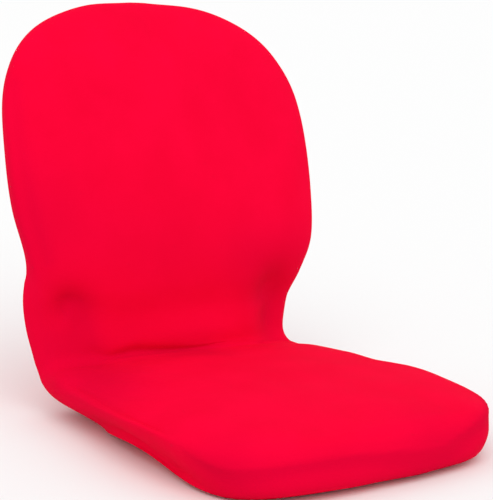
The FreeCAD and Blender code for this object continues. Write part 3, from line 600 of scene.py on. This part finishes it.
def hem_moves(grid):
    """The lower edge is pulled up along the sides and runs in below the front edge."""
    x, y, z = np.moveaxis(grid, -1, 0)
    low = 1 - ramp_up(z, 0.0, LOW_Z)
    lowest = 1 - ramp_up(z, 0.0, LOWEST_Z)
    side = ramp_up(np.abs(x), *SIDES_FROM)
    front = ramp_down(y, *FRONT_TO)
    corner = bump(y - REAR_CORNER_Y, REAR_CORNER_LENGTH)
    move = np.zeros_like(grid)
    move[..., 1] += NOSE_TUCK * front * low
    move[..., 0] += np.sign(x) * (HEM_OUT * bump(y - OUT_Y, OUT_LENGTH)) * side * lowest
    move[..., 0] -= np.sign(x) * REAR_IN * corner * side * low
    move[..., 2] += HEM_ARCH * bump(y - ARCH_Y, ARCH_LENGTH) * side * low
    move[..., 2] -= NOSE_SINK * front * low * ramp_up(x, *SINK_FROM_X)
    return move


def waves(grid, normals):
    """Slow undulations of cloth over foam."""
    x, y, z = np.moveaxis(grid, -1, 0)
    lift = np.zeros(x.shape)
    for number in range(1, WAVE_COUNT + 1):
        turn = WAVE_TURN * number
        run = x * math.cos(turn) + (z - y) * math.sin(turn)
        length = WAVE_LENGTH + WAVE_LENGTH_STEP * number
        lift += np.sin(2 * math.pi * run / length + WAVE_SHIFT * number)
    return normals * (WAVE_HEIGHT / WAVE_COUNT * lift)[..., None]


def sculpted(grid, normals, body, follows):
    """All moves of the cover's creases, dimples, folds and edges."""
    move = np.zeros_like(grid)
    for form in (dimples, crease, front_edge, near_edge, small_folds, rear_seam, waves):
        move += form(grid, normals)
    move[body:] = 0.0
    fade = ramp_down(np.arange(body), body - 1, HEM_FADE_ROWS)
    move[:body] *= fade[:, None, None]
    return move + hem_moves(grid) * follows[..., None]


# ---- painted shade: the knit's colour is made a deeper red where shade falls ----

def waist_painted_shade(grid, normals):
    """Painted shade in both recesses, in the crease and on the seat in front of it."""
    distance, _, share = off_line(grid, normals, NEAR_DIMPLE)
    kept = 1 - NEAR_SHADE_FADE * ramp_up(share, 0, 1)
    yield NEAR_SHADE * bump(distance, NEAR_SHADE_WIDTH) * kept
    distance, _, _ = off_line(grid, normals, FAR_DIMPLE)
    yield bump(distance, FAR_SHADE_WIDTH)
    distance, _, share = off_line(grid, normals, CREASE_LINE)
    yield CREASE_SHADE * bump(distance, CREASE_SHADE_WIDTH) * crease_ends(share)
    seat = ramp_up(normals[..., 2], *FACING_UP_FROM)
    yield SEAT_SHADE * seat * bump(distance, SEAT_SHADE_WIDTH) * ramp_down(share, *SEAT_SHADE_TO)


def spot_painted_shade(grid):
    """Painted shade in round spots."""
    for *spot, radius, share in SHADE_SPOTS:
        yield share * bump(np.linalg.norm(grid - np.array(spot), axis=-1), radius)


def edge_painted_shade(grid, normals):
    """Painted shade on the front wall and its crest, on the waist's side and along the strip at the
    side.
    """
    _, y, z = np.moveaxis(grid, -1, 0)
    distance, above, along = off_line(grid, normals, FRONT_EDGE)
    wall = ramp_down(above, *WALL_TO) * bump(distance, WALL_SHADE_WIDTH)
    yield WALL_SHADE * wall * ramp_up(along, *WALL_FROM)
    crest = bump(distance - CREST_SHADE_OFF, CREST_SHADE_WIDTH)
    yield CREST_SHADE * crest * ramp_up(along, *WALL_FROM)
    side = ramp_up(-normals[..., 0], 0.0, FACING_SIDE) * ramp_up(z, *SIDE_SHADE_FROM_Z)
    yield SIDE_SHADE * side * ramp_up(y, *SIDE_SHADE_FROM_Y)
    distance, _, _ = off_line(grid, normals, STRIP_EDGE)
    yield STRIP_SHADE * bump(distance, STRIP_SHADE_WIDTH)


def painted_shade(grid, normals):
    """How much shade is painted into the knit's colour at each point, 0 to 1."""
    terms = [*waist_painted_shade(grid, normals), *spot_painted_shade(grid), *edge_painted_shade(grid, normals)]
    return np.clip(sum(terms), 0.0, 1.0)


# ---- the cover ----

def knit_map(obj, grid):
    """A map in metres: across the wales in u, along them in v."""
    rings, count = grid.shape[:2]
    step = np.linalg.norm(np.diff(grid, axis=0), axis=-1).mean(1)
    v = np.concatenate([[0.0], np.cumsum(step)])
    width = np.linalg.norm(np.roll(grid, -1, 1) - grid, axis=-1).sum(1).max()
    layer = obj.data.uv_layers.new(name="knit")
    coords = []
    for row in range(rings - 1):
        for col in range(count):
            u0 = width * col / count
            u1 = width * (col + 1) / count
            coords += [u0, v[row], u0, v[row + 1], u1, v[row + 1], u1, v[row]]
    for row in (0, rings - 1):
        for col in range(count):
            coords += [width * col / count, v[row]] * 3
    layer.data.foreach_set("uv", coords)


def painted_shade_map(obj, slack):
    """A second map whose u says how much shade is painted into the knit's colour."""
    values = np.concatenate([slack.ravel(), slack[0, :1], slack[-1, :1]])
    corners = np.empty(len(obj.data.loops), int)
    obj.data.loops.foreach_get("vertex_index", corners)
    coords = np.stack([values[corners], np.full(len(corners), 0.5)], 1)
    obj.data.uv_layers.new(name="slack").data.foreach_set("uv", coords.ravel())


def make_cover():
    body, rows, follows = cover_rows()
    grid = np.stack([ring(row, RING_POINTS) for row in rows])
    normals = grid_normals(grid)
    held = np.zeros(len(rows))
    held[body - 1:] = 1.0
    held[body - HELD_ROWS:body - 1] = np.linspace(0.0, HELD_MOST, HELD_ROWS - 1)
    grid = grid + swell(grid, normals, held)
    normals = grid_normals(grid)
    # painted shade: how much the knit's colour is darkened at each point
    slack = painted_shade(grid, normals)
    grid = grid + sculpted(grid, normals, body, follows)
    obj = grid_mesh("cover", grid)
    knit_map(obj, grid)
    painted_shade_map(obj, slack)
    return obj


# ---- nodes of materials ----

def new_material(name, roughness, metallic=0.0):
    material = bpy.data.materials.new(name)
    material.use_nodes = True
    bsdf = material.node_tree.nodes["Principled BSDF"]
    bsdf.inputs["Roughness"].default_value = roughness
    bsdf.inputs["Metallic"].default_value = metallic
    return material, material.node_tree, bsdf


def math_node(tree, operation, first, second=None):
    node = tree.nodes.new("ShaderNodeMath")
    node.operation = operation
    for socket, value in zip(node.inputs, (first, second)):
        if isinstance(value, bpy.types.NodeSocket):
            tree.links.new(value, socket)
        elif value is not None:
            socket.default_value = value
    return node.outputs[0]


def place(tree, stretch=(1.0, 1.0, 1.0)):
    """Places on the part in metres, stretched."""
    coords = tree.nodes.new("ShaderNodeTexCoord")
    mapping = tree.nodes.new("ShaderNodeMapping")
    mapping.inputs["Scale"].default_value = stretch
    tree.links.new(coords.outputs["Object"], mapping.inputs["Vector"])
    return mapping.outputs["Vector"]


def axes(tree, vector):
    """The X, Y and Z of a vector."""
    split = tree.nodes.new("ShaderNodeSeparateXYZ")
    tree.links.new(vector, split.inputs["Vector"])
    return split.outputs


def map_axes(tree, name):
    """The u and v, as X and Y, of one of the cover's maps."""
    uv = tree.nodes.new("ShaderNodeUVMap")
    uv.uv_map = name
    return axes(tree, uv.outputs["UV"])


def noise(tree, vector, scale, detail=2.0):
    node = tree.nodes.new("ShaderNodeTexNoise")
    node.inputs["Scale"].default_value = scale
    node.inputs["Detail"].default_value = detail
    tree.links.new(vector, node.inputs["Vector"])
    return node.outputs["Fac"]


def stripes(tree, value, width):
    """A sine of a place, with one full wave in each width."""
    return math_node(tree, "SINE", math_node(tree, "MULTIPLY", value, 2 * math.pi / width))


def spread(tree, value, low=0.0, high=1.0):
    """A texture's middle values stretched to the range from low to high."""
    node = tree.nodes.new("ShaderNodeMapRange")
    node.inputs["From Min"].default_value = 0.3
    node.inputs["From Max"].default_value = 0.7
    node.inputs["To Min"].default_value = low
    node.inputs["To Max"].default_value = high
    tree.links.new(value, node.inputs["Value"])
    return node.outputs["Result"]


def mixed(tree, factor, first, second):
    """A mix of two colours, each a colour or a socket."""
    mix = tree.nodes.new("ShaderNodeMix")
    mix.data_type = "RGBA"
    for name, value in (("A", first), ("B", second)):
        if isinstance(value, bpy.types.NodeSocket):
            tree.links.new(value, mix.inputs[name])
        else:
            mix.inputs[name].default_value = (*value, 1)
    tree.links.new(factor, mix.inputs["Factor"])
    return mix.outputs["Result"]


def two_tone(tree, bsdf, factor, dark, light):
    tree.links.new(mixed(tree, factor, dark, light), bsdf.inputs["Base Color"])


def roughened(tree, bsdf, value, low, high):
    tree.links.new(spread(tree, value, low, high), bsdf.inputs["Roughness"])


def bumped(tree, bsdf, height, strength, distance):
    bump_node = tree.nodes.new("ShaderNodeBump")
    bump_node.inputs["Strength"].default_value = strength
    bump_node.inputs["Distance"].default_value = distance
    tree.links.new(height, bump_node.inputs["Height"])
    tree.links.new(bump_node.outputs["Normal"], bsdf.inputs["Normal"])


# ---- materials ----

def knit_loops(tree):
    """Height of the knit's loops: columns of V shapes."""
    u, v, _ = map_axes(tree, "knit")
    across = math_node(tree, "MULTIPLY", u, math.pi / WALE)
    column = math_node(tree, "ABSOLUTE", math_node(tree, "SINE", across))
    along = math_node(tree, "MULTIPLY", v, 2 * math.pi / COURSE)
    dip = math_node(tree, "MULTIPLY", column, LOOP_SLANT)
    row = math_node(tree, "SINE", math_node(tree, "ADD", along, dip))
    return math_node(tree, "ADD", column, math_node(tree, "MULTIPLY", row, LOOP_ROWS))


def knit_material():
    """Bright red stretch knit, with shade painted into it as a deeper red."""
    material, tree, bsdf = new_material("knit_cover", 0.85)
    bsdf.inputs["Specular IOR Level"].default_value = 0.01
    bsdf.inputs["Sheen Weight"].default_value = 0.02
    bsdf.inputs["Sheen Roughness"].default_value = 0.5
    bsdf.inputs["Sheen Tint"].default_value = (1.0, 0.10, 0.25, 1)
    blotch = noise(tree, place(tree), scale=16.0, detail=3.0)
    fuzz = math_node(tree, "MULTIPLY", noise(tree, place(tree), scale=700.0), FUZZ)
    tone = math_node(tree, "SUBTRACT", math_node(tree, "ADD", blotch, fuzz), FUZZ / 2)
    stretched = mixed(tree, spread(tree, tone), KNIT_DARK, KNIT_LIGHT)
    # painted shade: the colour is mixed toward a deeper red by the shade map
    painted_shade_factor, _, _ = map_axes(tree, "slack")
    color = mixed(tree, painted_shade_factor, stretched, KNIT_PAINTED_SHADE)
    tree.links.new(color, bsdf.inputs["Base Color"])
    bumped(tree, bsdf, knit_loops(tree), strength=0.25, distance=0.0003)
    return material


def plastic_material():
    """Black moulded polypropylene with a fine grain."""
    material, tree, bsdf = new_material("shell_plastic", 0.5)
    grain = noise(tree, place(tree), scale=900.0, detail=3.0)
    cloud = noise(tree, place(tree), scale=30.0)
    two_tone(tree, bsdf, cloud, (0.024, 0.024, 0.026), (0.036, 0.036, 0.038))
    roughened(tree, bsdf, grain, low=0.42, high=0.60)
    bumped(tree, bsdf, grain, strength=0.35, distance=0.0002)
    return material


def plywood_material():
    """Birch plywood: long grain on the faces, plies at the edges."""
    material, tree, bsdf = new_material("plywood", 0.5)
    fibre = noise(tree, place(tree, (1.0, 0.06, 1.0)), scale=260.0, detail=4.0)
    cloud = noise(tree, place(tree, (1.0, 0.25, 1.0)), scale=18.0)
    plies = stripes(tree, axes(tree, place(tree))["Z"], 2 * PLY)
    tone = math_node(tree, "ADD", math_node(tree, "MULTIPLY", fibre, 0.6),
                     math_node(tree, "MULTIPLY", cloud, 0.4))
    tone = math_node(tree, "ADD", tone, math_node(tree, "MULTIPLY", plies, 0.04))
    two_tone(tree, bsdf, spread(tree, tone), (0.60, 0.43, 0.25), (0.80, 0.65, 0.45))
    bumped(tree, bsdf, fibre, strength=0.2, distance=0.0002)
    return material


def rubber_material():
    """Dusty black rubber."""
    material, tree, bsdf = new_material("rubber", 0.8)
    dust = noise(tree, place(tree), scale=120.0, detail=4.0)
    two_tone(tree, bsdf, spread(tree, dust), (0.020, 0.020, 0.020), (0.038, 0.037, 0.036))
    roughened(tree, bsdf, dust, low=0.70, high=0.92)
    bumped(tree, bsdf, noise(tree, place(tree), scale=1500.0), strength=0.2, distance=0.0001)
    return material


def powder_material():
    """Black powder coat with orange peel."""
    material, tree, bsdf = new_material("black_steel", 0.45)
    peel = noise(tree, place(tree), scale=650.0)
    cloud = noise(tree, place(tree), scale=60.0)
    two_tone(tree, bsdf, cloud, (0.016, 0.016, 0.018), (0.026, 0.026, 0.028))
    roughened(tree, bsdf, peel, low=0.36, high=0.52)
    bumped(tree, bsdf, peel, strength=0.3, distance=0.0002)
    return material


def zinc_material():
    """Bright zinc plate, a little uneven."""
    material, tree, bsdf = new_material("zinc_steel", 0.32, metallic=1.0)
    cloud = noise(tree, place(tree), scale=90.0, detail=4.0)
    two_tone(tree, bsdf, spread(tree, cloud), (0.54, 0.56, 0.58), (0.70, 0.70, 0.69))
    roughened(tree, bsdf, noise(tree, place(tree), scale=400.0), low=0.24, high=0.42)
    bumped(tree, bsdf, cloud, strength=0.1, distance=0.0001)
    return material


def elastic_material():
    """Round braided elastic."""
    material, tree, bsdf = new_material("elastic", 0.75)
    x, y, _ = axes(tree, place(tree))
    one_way = stripes(tree, math_node(tree, "ADD", x, y), BRAID)
    other_way = stripes(tree, math_node(tree, "SUBTRACT", x, y), BRAID)
    braid = math_node(tree, "MAXIMUM", one_way, other_way)
    two_tone(tree, bsdf, spread(tree, braid), (0.55, 0.010, 0.035), (0.78, 0.020, 0.050))
    bumped(tree, bsdf, braid, strength=0.6, distance=0.0004)
    return material


MATERIALS = {"shell_plastic": plastic_material, "plywood": plywood_material,
             "rubber": rubber_material, "black_steel": powder_material,
             "zinc_steel": zinc_material, "elastic": elastic_material}


def finish_nodes():
    """Each shown CAD node gets the material of its slot in the record."""
    made = {slot: make() for slot, make in MATERIALS.items()}
    for part in frame["record"]["subparts"]:
        node = nodes[part["node"]]
        if not node.hide_render:
            node.data.materials.clear()
            node.data.materials.append(made[part["material_slot"]])


# ---- floor, light, camera ----

def seen_directly(tree):
    """1 for camera, glossy and transmission rays."""
    path = tree.nodes.new("ShaderNodeLightPath")
    total = path.outputs["Is Camera Ray"]
    for kind in ("Is Glossy Ray", "Is Transmission Ray"):
        total = math_node(tree, "MAXIMUM", total, path.outputs[kind])
    return total


def make_floor():
    bpy.ops.mesh.primitive_plane_add(size=FLOOR_SIZE, location=(0, 0, 0))
    floor = bpy.context.object
    floor.name = "floor"
    material, _, bsdf = new_material("floor", 1.0)
    bsdf.inputs["Base Color"].default_value = (FLOOR, FLOOR, FLOOR, 1)
    bsdf.inputs["Specular IOR Level"].default_value = 0.0
    floor.data.materials.append(material)


def make_world():
    world = bpy.data.worlds.new("studio")
    world.use_nodes = True
    tree = world.node_tree
    strength = tree.nodes.new("ShaderNodeMapRange")
    strength.inputs["To Min"].default_value = SKY
    strength.inputs["To Max"].default_value = 1.0
    tree.links.new(seen_directly(tree), strength.inputs["Value"])
    background = tree.nodes["Background"]
    background.inputs["Color"].default_value = (1, 1, 1, 1)
    tree.links.new(strength.outputs["Result"], background.inputs["Strength"])
    bpy.context.scene.world = world


def make_sun():
    data = bpy.data.lights.new("sun", "SUN")
    data.energy = SUN * math.pi
    data.angle = SUN_SPREAD
    light = bpy.data.objects.new("sun", data)
    light.rotation_euler = Vector(SUN_TOWARD).to_track_quat("Z", "Y").to_euler()
    bpy.context.scene.collection.objects.link(light)


def make_camera():
    """The photograph's view: it looks at the target along minus back."""
    azimuth = math.radians(-38.69)
    elevation = math.radians(10.39)
    roll = math.radians(2.88)
    distance = 2.0758
    focal_px = 1685.2
    target = Vector((0.0295, 0.074, 0.2109))
    back = Vector((math.sin(azimuth) * math.cos(elevation),
                   -math.cos(azimuth) * math.cos(elevation), math.sin(elevation)))
    right = Vector((math.cos(azimuth), math.sin(azimuth), 0))
    up = back.cross(right)
    rolled_right = right * math.cos(roll) + up * math.sin(roll)
    rolled_up = up * math.cos(roll) - right * math.sin(roll)
    data = bpy.data.cameras.new("camera")
    data.lens = focal_px * data.sensor_width / max(FRAME_W, FRAME_H)
    camera = bpy.data.objects.new("camera", data)
    rotation = Matrix((rolled_right, rolled_up, back)).transposed().to_4x4()
    camera.matrix_world = Matrix.Translation(target + back * distance) @ rotation
    bpy.context.scene.collection.objects.link(camera)
    bpy.context.scene.camera = camera


cover = make_cover()
cover.data.materials.append(knit_material())
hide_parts("seat_cover", "waist_cover", "back_cover", "seat_foam", "back_foam", "rear_pad")
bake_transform(cover)
finish_nodes()
make_floor()
make_world()
make_sun()
make_camera()
bpy.context.scene.view_settings.view_transform = "Standard"
